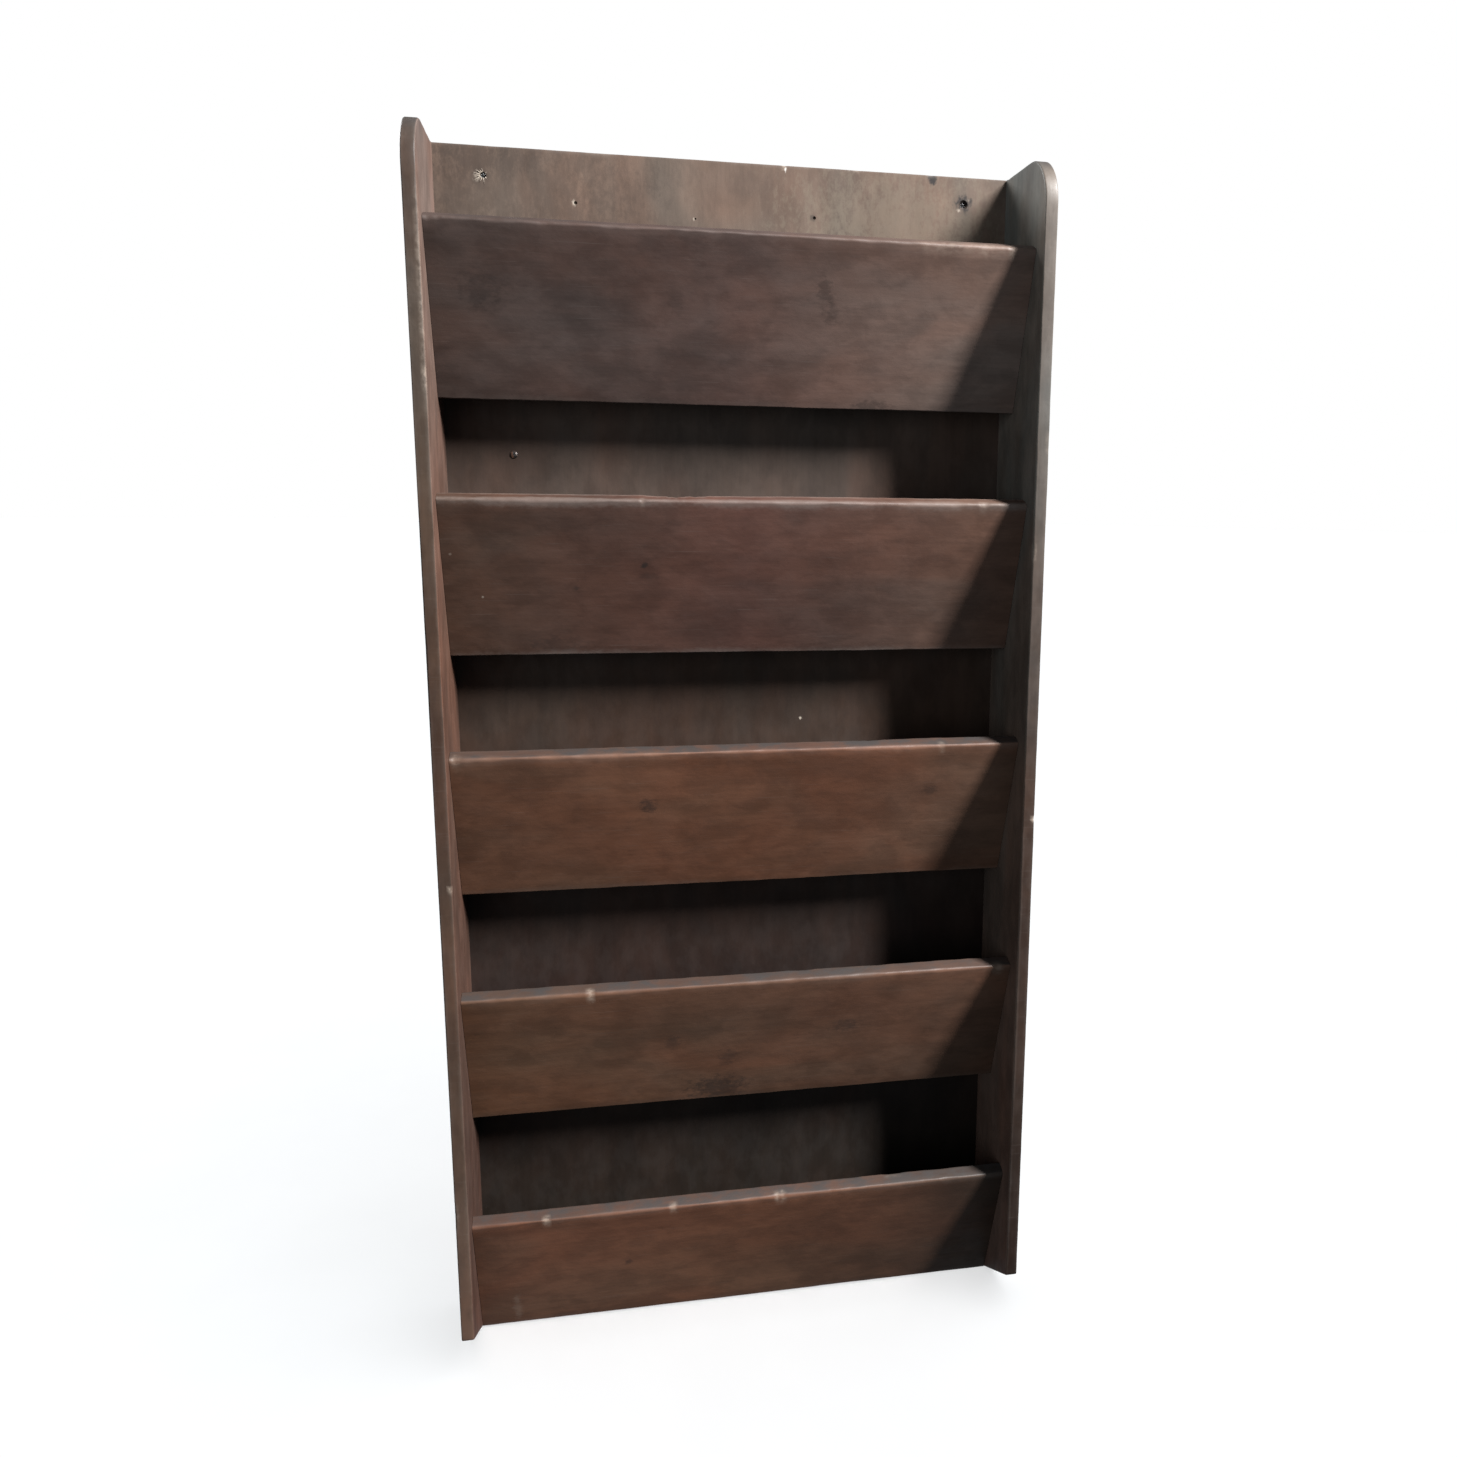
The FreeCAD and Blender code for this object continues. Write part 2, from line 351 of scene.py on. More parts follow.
# Chips on each slat by arris: (place along X, half length in mm, extra rounding in mm, paleness).
SLAT_CHIPS = (
    {UPPER_FRONT: ((-0.262, 16, 1.8, 0), (-0.17, 9, 0.9, 0), (0.2, 50, 0.2, 0.22), (0.245, 4, 1.2, 0.4)),
     UPPER_BACK: ((0.01, 12, 1.2, 0),)},
    {UPPER_FRONT: ((-0.092, 3, 1.4, 0.08), (0.226, 6, 1.4, 0.1)), UPPER_BACK: ((-0.062, 29, 4.6, 0),)},
    {UPPER_FRONT: ((-0.262, 5, 1.6, 0.15), (0.19, 4, 1, 0.3)), UPPER_BACK: ((0.12, 14, 1.4, 0),)},
    {UPPER_FRONT: ((-0.15, 5, 1.2, 0.3), (0.255, 7, 1.8, 0.2)), UPPER_BACK: ((0.06, 18, 1.6, 0),)},
    {UPPER_FRONT: ((-0.198, 5, 1.3, 0.35), (-0.075, 5, 1.2, 0.35), (0.032, 7, 1.5, 0.45)),
     UPPER_BACK: ((0.15, 12, 1.6, 0.1),)},
)

SLAT_STATIONS = ((0.5,), (0.06, 0.3, 0.7, 0.94), (0.5,), (0.06, 0.2, 0.35, 0.5, 0.65, 0.8, 0.94))
SLAT_WAVES = ((0.55, 70 * MM, 0.0), (0.35, 14 * MM, 0.5))


def build_slat(tier, material):
    """Front slat of one pocket: rubbed top arrises, chips and ends let into the sides."""
    node = f"front_slat_{tier + 1}"
    left, right = span(node, RIGHT)
    front, back = span(node, THROUGH_THE_SLAT)
    low, high = span(node, UP_THE_SLAT)
    corners = [Vector((front, low)), Vector((back, low)), Vector((back, high)), Vector((front, high))]

    def radius_at(x, arris):
        depth, bare = chip_depth(SLAT_CHIPS[tier].get(arris, ()), x)
        return SLAT_RADII[arris] * uneven(x, tier * 4 + arris, SLAT_WAVES) + depth, bare
    piece = swept_board(node + "_board", left, right, corners, radius_at, SLAT_STATIONS,
                        THROUGH_THE_SLAT, UP_THE_SLAT)
    finished(piece, node, material)


FLOOR_RADIUS = 0.6 * MM
FLOOR_STATIONS = ((0.5,), (0.5,), (0.3, 0.7), (0.5,))
FLOOR_WAVES = ((0.4, 40 * MM, 30),)


def build_pocket_floor(tier, material):
    """Pocket floor, bevelled to its slat at the front, with lightly eased arrises."""
    node = f"pocket_floor_{tier + 1}"
    left, right = span(node, RIGHT)
    low, high = span(node, UP)
    behind = span(node, INTO_WALL)[1]
    slat_back = span(f"front_slat_{tier + 1}", THROUGH_THE_SLAT)[1]

    def front_y(height):
        return (slat_back - height * THROUGH_THE_SLAT.z) / THROUGH_THE_SLAT.y
    corners = [Vector((front_y(low), low)), Vector((behind, low)),
               Vector((behind, high)), Vector((front_y(high), high))]

    def radius_at(x, corner):
        return FLOOR_RADIUS * uneven(x, tier * 4 + corner, FLOOR_WAVES), 0.0
    piece = swept_board(node + "_board", left, right, corners, radius_at, FLOOR_STATIONS,
                        INTO_WALL, UP)
    finished(piece, node, material)


# ---- Boards with a shaped outline: sides and back

def outlined_board(name, corners, radii, arc_steps, stations, place, low, high, radius_at):
    """Board of a shaped outline with rounded arrises at both faces.

    place(point, w) puts a point of the outline in the frame at depth w, and
    radius_at(point, travel, face) gives an arris's rounding and bareness at face low or high."""
    def outline_at(inset):
        turns = [max(radius - inset, LEAST_RADIUS) for radius in radii]
        points = rounded_polygon(inset_polygon(corners, inset), turns, arc_steps, stations)
        return [point for point, _, _ in points]
    outer = outline_at(0.0)
    shallow = outline_at(SHALLOW)
    deep = outline_at(FACE_BAND)
    inward = [(after - before) / SHALLOW for before, after in zip(outer, shallow)]
    travels = [0.0]
    for before, after in zip(outer, outer[1:]):
        travels.append(travels[-1] + (after - before).length)
    worn = {face: [radius_at(point, travel, face) for point, travel in zip(outer, travels)]
            for face in (low, high)}

    def ring(face, inset_share, depth_share, guard, edge):
        towards_middle = 1 if face == low else -1
        entries = []
        for point, direction, (radius, bare) in zip(outer, inward, worn[face]):
            inset = radius * inset_share + guard
            depth = face + towards_middle * radius * depth_share
            entries.append((place(point + direction * inset, depth), edge, bare * edge))
        return entries

    def face_rings(face):
        flat = [(place(point, face), 0.0, 0.0) for point in deep]
        rings = [flat, ring(face, 1.0, 0.0, GUARD, closeness(GUARD))]
        for k in range(ARRIS_STEPS + 1):
            angle = math.pi / 2 * k / ARRIS_STEPS
            rings.append(ring(face, 1 - math.sin(angle), 1 - math.cos(angle), 0.0, 1.0))
        return rings
    band = min(FACE_BAND, BAND_LIMIT * (high - low))
    walls = [[(place(point, depth), closeness(band), 0.0) for point in outer]
             for depth in (low + band, high - band)]
    return link(name, skin(name, face_rings(low) + walls + face_rings(high)[::-1]))


SIDE_ARRIS = {"inner": 1.5 * MM, "outer": 1.3 * MM}
SIDE_BACK_ARRIS = 0.4 * MM
BACK_ZONE = 4 * MM
SIDE_WAVES = ((0.5, 90 * MM, 0.0), (0.35, 16 * MM, 0.5))
SIDE_SEED = 60
SIDE_STATIONS = (even(24), even(24), even(400), even(24), even(4))
SIDE_ARC_STEPS = (2, 2, 24, 4, 3)

# Nicks on the sides' front edges, by side and arris: (height, then as for a slat's chips).
SIDE_NICKS = {
    ("left", "inner"): ((-0.12, 105, 0.3, 0.2), (-0.185, 14, 0.8, 0.35), (-0.632, 4, 1.3, 0.6)),
    ("left", "outer"): ((-0.42, 30, 0.9, 0), (-0.955, 18, 0.8, 0.1)),
    ("right", "inner"): ((-0.33, 10, 0.9, 0.2),),
    ("right", "outer"): ((-0.59, 3.5, 1.6, 0.7), (-0.23, 12, 0.8, 0.2)),
}


def build_side(name, sign, material):
    """Upright side board: round top corner, sloped foot, rubbed arrises, countersunk screw holes."""
    node = f"side_{name}"
    west, east = span(node, RIGHT)
    front, back = span(node, INTO_WALL)
    foot, top = span(node, UP)
    corners = [Vector((back, foot)), Vector((back, top)), Vector((front, top)),
               Vector((front, foot + SIDE_FOOT_RISE)), Vector((front + SIDE_FOOT_REACH, foot))]
    radii = [SQUARE_CORNER, SQUARE_CORNER, SIDE_TOP_RADIUS, SIDE_TOE_RADIUS, SIDE_HEEL_RADIUS]

    def radius_at(point, travel, face):
        arris = "inner" if (face == west) == (sign > 0) else "outer"
        if point.x > back - BACK_ZONE:
            return SIDE_BACK_ARRIS, 0.0
        seed = SIDE_SEED + 2 * sign + (arris == "inner")
        depth, bare = chip_depth(SIDE_NICKS[name, arris], point.y)
        return SIDE_ARRIS[arris] * uneven(travel, seed, SIDE_WAVES) + depth, bare
    piece = outlined_board(node + "_board", corners, radii, SIDE_ARC_STEPS, SIDE_STATIONS,
                           lambda point, w: Vector((w, point.x, point.y)), west, east, radius_at)
    cut(piece, screw_pockets(name, sign))
    finished(piece, node, material)


SINK_DEPTH = 2.4 * MM
SHANK_RADIUS = 2.0 * MM
SHANK_POCKET = 2 * MM


def screw_pockets(name, sign):
    """Countersinks, a hair larger than the screw heads, in a side's outer face."""
    pockets = []
    for node in (f"slat_screws_{name}", f"floor_screws_{name}"):
        for low, high in solids_of(node):
            middle = (low + high) / 2
            mouth = Vector((high.x if sign > 0 else low.x, middle.y, middle.z))
            head_radius = (high.z - low.z) / 2 + HOLE_CLEARANCE
            shank = SHANK_RADIUS + HOLE_CLEARANCE
            profile = [(-OVERSHOOT, head_radius), (0.0, head_radius), (SINK_DEPTH, shank),
                       (SINK_DEPTH + SHANK_POCKET, shank)]
            pockets.append(turned_solid(profile, mouth, -sign * RIGHT))
    return pockets


PANEL_ARRIS = 0.5 * MM
PANEL_WAVES = ((0.6, 22 * MM, 80), (0.4, 6 * MM, 81))
PANEL_STATIONS = (even(90), even(186)) * 2
PANEL_ARC_STEPS = (2,) * 4
NAIL_POCKET_DEPTH = 1.0 * MM
WALL_SINK_RADIUS = 4.4 * MM
WALL_SINK_DEPTH = 1.8 * MM
TORN_RADIUS = 3.1 * MM

# Chips on the front arris of the back's top edge, as for a slat.
PANEL_CHIPS = ((0.05, 1.6, 2.2, 0.9), (0.192, 4, 1.6, 0), (-0.12, 16, 0.7, 0.1), (0.118, 9, 0.8, 0.1),
               (-0.215, 10, 0.6, 0))

# Holes left by pulled nails in the panel's face: (place along X, height, radius).
NAIL_HOLES = ((-0.144, -0.019, 1.5 * MM), (-0.035, -0.027, 0.9 * MM), (0.078, -0.020, 1.5 * MM))
NAIL_HOLE_DEPTH = 2.5 * MM
NAIL_HOLE_POINT = 3.2 * MM
NAIL_POINT_SHARE = 0.3
NAIL_HOLE_SIDES = 16
NAIL_POCKET_SIDES = 20


def panel_solids():
    """Everything drilled or sunk in the back panel, as solids to cut out."""
    face = span("back_panel", INTO_WALL)[0]
    depth = OVERSHOOT - face
    solids = []
    for x, mouth_radius in ((-WALL_HOLE_X, TORN_RADIUS), (WALL_HOLE_X, WALL_SINK_RADIUS)):
        profile = [(-OVERSHOOT, mouth_radius), (0.0, mouth_radius),
                   (WALL_SINK_DEPTH, WALL_HOLE_RADIUS), (depth, WALL_HOLE_RADIUS)]
        solids.append(turned_solid(profile, Vector((x, face, 0)), INTO_WALL))
    for x, height, radius in NAIL_HOLES:
        profile = [(-OVERSHOOT, radius), (NAIL_HOLE_DEPTH, radius),
                   (NAIL_HOLE_POINT, radius * NAIL_POINT_SHARE)]
        solids.append(turned_solid(profile, Vector((x, face, height)), INTO_WALL, NAIL_HOLE_SIDES))
    for node in ("back_nails_left", "back_nails_right", "floor_nails"):
        for low, high in solids_of(node):
            middle = (low + high) / 2
            radius = (high.z - low.z) / 2 + HOLE_CLEARANCE
            profile = [(-OVERSHOOT, radius), (NAIL_POCKET_DEPTH, radius)]
            mouth = Vector((middle.x, high.y, middle.z))
            solids.append(turned_solid(profile, mouth, -INTO_WALL, NAIL_POCKET_SIDES))
    return solids


# Torn fibres round the left wall hole: (direction in degrees from +X, length, lift).
FIBRES = ((143, 4.4, 0.9), (168, 6.2, 0.5), (197, 3.6, 1.0), (214, 5.6, 0.6), (246, 3.8, 0.9),
          (278, 4.6, 0.5), (121, 2.4, 0.7), (96, 3.2, 0.4), (318, 1.8, 0.4), (38, 1.5, 0.3))
FIBRE_WIDTH = 1.0 * MM
FIBRE_THICKNESS = 0.3 * MM
FIBRE_ROOT_SHARE = 0.8
FIBRE_ROOT_DEPTH = 0.2 * MM
FIBRE_RIDGE = 0.6 * MM
FIBRE_RIDGE_LIFT = 0.8

# Burst veneer at a wall hole's far mouth, finished near black as painted shade inside the hole: (direction
# in degrees from +X, length, width).
BURSTS = ((12, 2.6, 2.3), (63, 3.0, 1.9), (118, 2.5, 2.4), (171, 3.1, 2.0), (226, 2.7, 2.4),
          (272, 2.4, 1.8), (321, 2.9, 2.3))
BURST_THICKNESS = 0.35 * MM
BURST_RIDGE = 0.8 * MM
BURST_GAP = 0.1 * MM


def sliver(root, ridge, tip, beside, thickness):
    """Tapered splinter from a root to a tip, as a (vertices, faces) solid."""
    vertices = [root - beside, root + beside, ridge, tip, root + INTO_WALL * thickness]
    return vertices, [[0, 1, 2], [1, 3, 2], [3, 0, 2], [0, 4, 1], [1, 4, 3], [3, 4, 0]]


def spokes(degrees, width):
    """Unit vector at an angle in the panel's plane, and half a width square to it."""
    angle = math.radians(degrees)
    along = Vector((math.cos(angle), 0, math.sin(angle)))
    return along, Vector((-math.sin(angle), 0, math.cos(angle))) * width / 2


def torn_fibres(centre):
    """Thin splinters that stand out round a hole's near mouth."""
    solids = []
    for degrees, length, lift in FIBRES:
        along, beside = spokes(degrees, FIBRE_WIDTH)
        root = centre + along * TORN_RADIUS * FIBRE_ROOT_SHARE + INTO_WALL * FIBRE_ROOT_DEPTH
        tip = centre + along * (TORN_RADIUS + length * MM) - INTO_WALL * lift * MM
        ridge = root + along * FIBRE_RIDGE - INTO_WALL * lift * FIBRE_RIDGE_LIFT * MM
        solids.append(sliver(root, ridge, tip, beside, FIBRE_THICKNESS))
    return solids


def burst_veneer_painted_shade(centre):
    """Flaps of the rear veneer, pushed in across a hole's far mouth."""
    solids = []
    for degrees, length, width in BURSTS:
        along, beside = spokes(degrees, width * MM)
        root = centre + along * (WALL_HOLE_RADIUS + BURST_GAP) - INTO_WALL * 2 * BURST_THICKNESS
        tip = root - along * length * MM
        ridge = root - along * BURST_RIDGE - INTO_WALL * BURST_THICKNESS
        solids.append(sliver(root, ridge, tip, beside, BURST_THICKNESS))
    return solids


def build_back_panel(material, torn_material, painted_shade_material):
    """Plywood back: chipped edges, drilled holes, nail pockets and torn fibres."""
    node = "back_panel"
    west, east = span(node, RIGHT)
    face, back = span(node, INTO_WALL)
    foot, top = span(node, UP)
    corners = [Vector((west, foot)), Vector((west, top)), Vector((east, top)), Vector((east, foot))]

    def radius_at(point, travel, arris):
        at_top_front = arris == face and point.y > top - BACK_ZONE
        depth, bare = chip_depth(PANEL_CHIPS, point.x) if at_top_front else (0.0, 0.0)
        return PANEL_ARRIS * uneven(travel, 0, PANEL_WAVES) + depth, bare
    piece = outlined_board(node + "_sheet", corners, [SQUARE_CORNER] * 4, PANEL_ARC_STEPS, PANEL_STATIONS,
                           lambda point, w: Vector((point.x, w, point.y)), face, back, radius_at)
    cut(piece, panel_solids())
    finished(piece, node, material)

    # The burst flaps close the holes' far mouths, and their near-black finish is painted shade inside the
    # holes.
    bursts = [flap for x in (-WALL_HOLE_X, WALL_HOLE_X) for flap in burst_veneer_painted_shade(Vector((x, back, 0)))]
    add_splinters(piece, bursts, painted_shade_material)
    add_splinters(piece, torn_fibres(Vector((-WALL_HOLE_X, face, 0))), torn_material)


def add_splinters(piece, solids, material):
    """Join flat-faced splinters to a piece, in a material of their own."""
    piece.data.materials.append(material)
    whole = bmesh.new()
    whole.from_mesh(piece.data)
    board_faces = len(whole.faces)
    whole.from_mesh(joined("splinters", solids))
    whole.faces.ensure_lookup_table()
    for number in range(board_faces, len(whole.faces)):
        whole.faces[number].material_index = len(piece.data.materials) - 1
        whole.faces[number].smooth = False
    whole.to_mesh(piece.data)
    whole.free()


# ---- The round-head screw in the back

DOME_STEPS = 8
DOME_SIDES = 40
DOME_RIM_SHARE = 0.35
DOME_TOP_RADIUS = 0.05 * MM
BACK_SHANK_RADIUS = 1.6 * MM
SCREW_SLOT_WIDTH = 0.9 * MM
SCREW_SLOT_DEPTH = 0.9 * MM
SCREW_SLOT_ANGLE = 62
SCREW_SLOT_REACH = 1.5


def build_back_screw(material):
    """Domed, slotted screw head standing on the panel's face, with its shank in the panel."""
    node = "back_screw"
    low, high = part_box(node)
    middle = (low + high) / 2
    face = span("back_panel", INTO_WALL)[0]
    radius = (high.x - low.x) / 2
    height = face - low.y
    rim = DOME_RIM_SHARE * height
    profile = [(high.y - face, BACK_SHANK_RADIUS), (0.0, BACK_SHANK_RADIUS), (0.0, radius), (-rim, radius)]
    for k in range(1, DOME_STEPS):
        angle = math.pi / 2 * k / DOME_STEPS
        profile.append((-rim - (height - rim) * math.sin(angle), radius * math.cos(angle)))
    profile.append((-height, DOME_TOP_RADIUS))
    place = Vector((middle.x, face, middle.z))
    piece = link(node + "_domed", joined(node, [turned_solid(profile, place, INTO_WALL, DOME_SIDES)]))
    along, beside = spokes(SCREW_SLOT_ANGLE, SCREW_SLOT_WIDTH)
    along *= radius * SCREW_SLOT_REACH
    mouth = place - INTO_WALL * (height + OVERSHOOT)
    floor = place - INTO_WALL * (height - SCREW_SLOT_DEPTH)
    vertices = [level + a * along + b * beside for level in (mouth, floor)
                for a, b in ((-1, -1), (1, -1), (1, 1), (-1, 1))]
    faces = [[0, 1, 2, 3], [4, 5, 6, 7], [0, 1, 5, 4], [1, 2, 6, 5], [2, 3, 7, 6], [3, 0, 4, 7]]
    cut(piece, [(vertices, faces)])
    finished(piece, node, material)


# ---- Material tools

# Where a spot starts to fade and where it ends, in shares of its reach, and how ragged it is.
SPOT_FADE = (0.2, 1.4)
SPOT_RAGGEDNESS = 1.3


def empty_tree(owner):
    """Cleared node tree of a material or a world."""
    owner.use_nodes = True
    owner.node_tree.nodes.clear()
    return owner.node_tree


def add_node(tree, kind, inputs=None, **settings):
    """A node with its settings, and with values or sockets fed to its inputs."""
    node = tree.nodes.new(kind)
    for key, value in settings.items():
        setattr(node, key, value)
    for key, value in (inputs or {}).items():
        if isinstance(value, bpy.types.NodeSocket):
            tree.links.new(value, node.inputs[key])
        else:
            node.inputs[key].default_value = value
    return node


class Finish:
    """A material being made: each method adds a node and gives back the socket it ends in."""

    def __init__(self, name):
        self.material = bpy.data.materials.new(name)
        self.tree = empty_tree(self.material)
        self.place = self.add("ShaderNodeTexCoord").outputs["Object"]

    def add(self, kind, inputs=None, **settings):
        return add_node(self.tree, kind, inputs, **settings)

    def math(self, operation, first, second=0.0):
        return self.add("ShaderNodeMath", {0: first, 1: second}, operation=operation).outputs[0]

    def times(self, first, second):
        return self.math("MULTIPLY", first, second)

    def stretched(self, scale, shift, turn=(0, 0, 0)):
        """The place on the object, scaled along each axis, turned and then shifted."""
        inputs = {"Scale": scale, "Location": shift, "Rotation": turn, "Vector": self.place}
        return self.add("ShaderNodeMapping", inputs).outputs[0]

    def noise(self, vector, detail=3.0, roughness=0.55, distortion=0.0):
        inputs = {"Vector": vector, "Scale": 1.0, "Detail": detail, "Roughness": roughness,
                  "Distortion": distortion}
        return self.add("ShaderNodeTexNoise", inputs).outputs[0]

    def remap(self, value, low, high, start=0.0, end=1.0, kind="SMOOTHSTEP"):
        inputs = dict(enumerate((value, low, high, start, end)))
        return self.add("ShaderNodeMapRange", inputs, interpolation_type=kind).outputs[0]

    def blend(self, factor, first, second, kind="MIX"):
        inputs = {0: factor, 6: first, 7: second}
        return self.add("ShaderNodeMix", inputs, data_type="RGBA", blend_type=kind).outputs[2]

    def shaded(self, colour, value):
        """A colour made lighter or darker by a value about 1."""
        return self.add("ShaderNodeVectorMath", {0: colour, "Scale": value}, operation="SCALE").outputs[0]

    def ramp(self, factor, stops):
        """Colour at a place from 0 to 1, through (place, colour) stops."""
        node = self.add("ShaderNodeValToRGB", {0: factor})
        elements = node.color_ramp.elements
        for element, (position, colour) in zip(elements, (stops[0], stops[-1])):
            element.position = position
            element.color = (*colour, 1)
        for position, colour in stops[1:-1]:
            elements.new(position).color = (*colour, 1)
        return node.outputs[0]

    def attribute(self, name):
        return self.add("ShaderNodeAttribute", attribute_name=name).outputs["Fac"]

    def split(self, vector):
        return self.add("ShaderNodeSeparateXYZ", {0: vector}).outputs

    def normal(self):
        """The surface's own normal, without bumps, as X, Y and Z."""
        return self.split(self.add("ShaderNodeNewGeometry").outputs["Normal"])

    def spot(self, centre, reach, ragged):
        """1 near a centre, falling to 0 past the reach along each axis; ragged is a noise to add."""
        shares = [1 / size if size else 0.0 for size in reach]
        away = self.add("ShaderNodeVectorMath", {0: self.place, 1: centre}, operation="SUBTRACT")
        scaled = self.add("ShaderNodeVectorMath", {0: away.outputs[0], 1: shares}, operation="MULTIPLY")
        length = self.add("ShaderNodeVectorMath", {0: scaled.outputs[0]}, operation="LENGTH")
        distance = self.math("ADD", length.outputs["Value"], self.times(ragged, SPOT_RAGGEDNESS))
        return self.remap(distance, *SPOT_FADE, 1.0, 0.0)

    def bump(self, height, strength, distance, below=None):
        inputs = {"Strength": strength, "Distance": distance, "Height": height}
        if below is not None:
            inputs["Normal"] = below
        return self.add("ShaderNodeBump", inputs).outputs[0]

    def surface(self, colour, roughness, normal, specular=0.5, metallic=0.0):
        """Ends the material in one surface shader and gives the material back."""
        inputs = {"Base Color": colour, "Roughness": roughness, "Normal": normal,
                  "Specular IOR Level": specular, "Metallic": metallic}
        shader = self.add("ShaderNodeBsdfPrincipled", inputs)
        self.add("ShaderNodeOutputMaterial", {"Surface": shader.outputs[0]})
        return self.material


# ---- Wood

ALONG_X, ALONG_Z = 0, 2
DUST = (0.023, 0.02, 0.019, 1)
RUBBED = (0.115, 0.098, 0.088, 1)
RAW_WOOD = (0.25, 0.2, 0.16, 1)
PLY_EDGE_DARK = (0.03, 0.02, 0.015, 1)
PLY_EDGE_PALE = (0.11, 0.075, 0.052, 1)
COOLER = (0.94, 1.00, 1.01, 1)
WARMER = (1.1, 0.98, 0.91, 1)
GRAIN_SHIFT = (3.7, 5.1, 2.3)


def wood_grain(finish, along, seed):
    """The scales of a stained board's figure, each from 0 to 1, as a dict of sockets."""
    shift = [seed * step for step in GRAIN_SHIFT]

    def figure(along_scale, across_scale, low, high, **settings):
        scales = [along_scale if axis == along else across_scale for axis in range(3)]
        return finish.remap(finish.noise(finish.stretched(scales, shift), **settings), low, high)
    return {
        "blotch": figure(6, 13, 0.32, 0.68, distortion=0.4),
        "mottle": figure(24, 42, 0.3, 0.7, detail=5.0, roughness=0.62, distortion=0.3),
        "hue": figure(4, 9, 0.34, 0.66, distortion=0.6),
        "band": figure(3.5, 60, 0.3, 0.7, detail=5.0, distortion=0.35),
        "streak": figure(22, 300, 0.34, 0.7, detail=5.0, roughness=0.65, distortion=0.2),
        "pore": figure(110, 1500, 0.58, 0.78, detail=2.0, roughness=0.5),
        "cloud": figure(38, 60, 0.3, 0.72, detail=4.0, roughness=0.6),
        "fray": figure(130, 210, 0.28, 0.72, detail=5.0, roughness=0.7),
        "patch": figure(9, 9, 0.34, 0.66, detail=2.0),
        "speck": figure(420, 520, 0.68, 0.8, detail=1.0),
    }


def darkened(finish, colour, figure, amount):
    """A colour made darker, by up to an amount, where a figure is 1."""
    return finish.shaded(colour, finish.remap(figure, 0.0, 1.0, 1.0, 1.0 - amount))


def tinted(finish, colour, figure):
    """A colour a little cooler where a figure is 0 and a little warmer where it is 1."""
    cooler, warmer = (finish.blend(1.0, colour, tint, "MULTIPLY") for tint in (COOLER, WARMER))
    return finish.blend(figure, cooler, warmer)


# Turn of each set of scratches and how many there are along them, and how fine and sharp they are.
SCRATCH_SETS = ((0.35, 24), (-0.9, 17))
SCRATCH_FINENESS = 900
SCRATCH_EDGE = (0.7, 0.78)


def scratches(finish, seed):
    """Two sets of thin, stray scratches, 1 on a scratch."""
    lines = []
    for turn, density in SCRATCH_SETS:
        shift = (seed, seed * 2.0, seed * 0.5)
        vector = finish.stretched((density, SCRATCH_FINENESS, SCRATCH_FINENESS), shift, (0.2, turn, 0.1))
        lines.append(finish.remap(finish.noise(vector, detail=1.0), *SCRATCH_EDGE))
    return finish.math("MAXIMUM", *lines)


def marked(finish, colour, marks, fray):
    """A colour with a front-facing board's smudges, knots and specks, and the patches of painted light and
    shade listed among them, frayed by a figure.
    """
    ragged = finish.math("SUBTRACT", fray, 0.5)
    for x, height, half_width, half_height, mark_colour, strength in marks:
        spot = finish.spot((x, 0.0, height), (half_width, 0.0, half_height), ragged)
        colour = finish.blend(finish.times(spot, strength), colour, mark_colour)
    return colour


# Where wear starts and is full towards an arris, what patches and fraying leave of it, how far it
# lightens the stain, and how dust and bare wood lie over it.
WEAR_EDGE = (0.15, 0.95)
WEAR_KEPT = (0.62, 1.0)
WEAR_FRAY = 0.3
RUBBED_SHARE = 0.4
RUBBED_LIFT = 1.2
FACING_UP = (0.45, 0.98)
DUST_COVER = (0.5, 0.85)
SPLINTER_COVER = (1.0, 0.25)


def weathered(finish, colour, figures, wear, dustiness=1.0):
    """A colour with rubbed arrises, dust on its upward faces and bare chips; also the rubbed share."""
    edge = finish.attribute("edge")
    kept = finish.remap(figures["patch"], 0.0, 1.0, *WEAR_KEPT)
    worn = finish.times(edge, kept)
    worn = finish.math("SUBTRACT", worn, finish.times(figures["fray"], WEAR_FRAY))
    worn = finish.remap(worn, *WEAR_EDGE)
    rubbed = finish.blend(RUBBED_SHARE, finish.shaded(colour, RUBBED_LIFT), RUBBED)
    colour = finish.blend(finish.times(worn, wear), colour, rubbed)
    upward = finish.remap(finish.normal()[2], *FACING_UP)
    dust = finish.remap(figures["cloud"], 0.0, 1.0, *(share * dustiness for share in DUST_COVER))
    colour = finish.blend(finish.times(upward, dust), colour, DUST)
    bare = finish.attribute("bare")
    splintered = finish.times(bare, finish.remap(figures["fray"], 0.1, 0.9, *SPLINTER_COVER))
    return finish.blend(splintered, colour, RAW_WOOD), worn


# How much each figure darkens the stain where it is strongest, and the lift that makes up for it.
FIGURE_DEPTH = (("blotch", 0.22), ("mottle", 0.24), ("band", 0.08), ("streak", 0.08), ("pore", 0.14))
FIGURE_LIFT = 0.38


def aged(finish, colour, figures, strength):
    """A tone with the board's figure in it, brought back to the same mean."""
    for figure, amount in FIGURE_DEPTH:
        colour = darkened(finish, colour, figures[figure], amount * strength)
    return finish.shaded(colour, 1 + FIGURE_LIFT * strength)


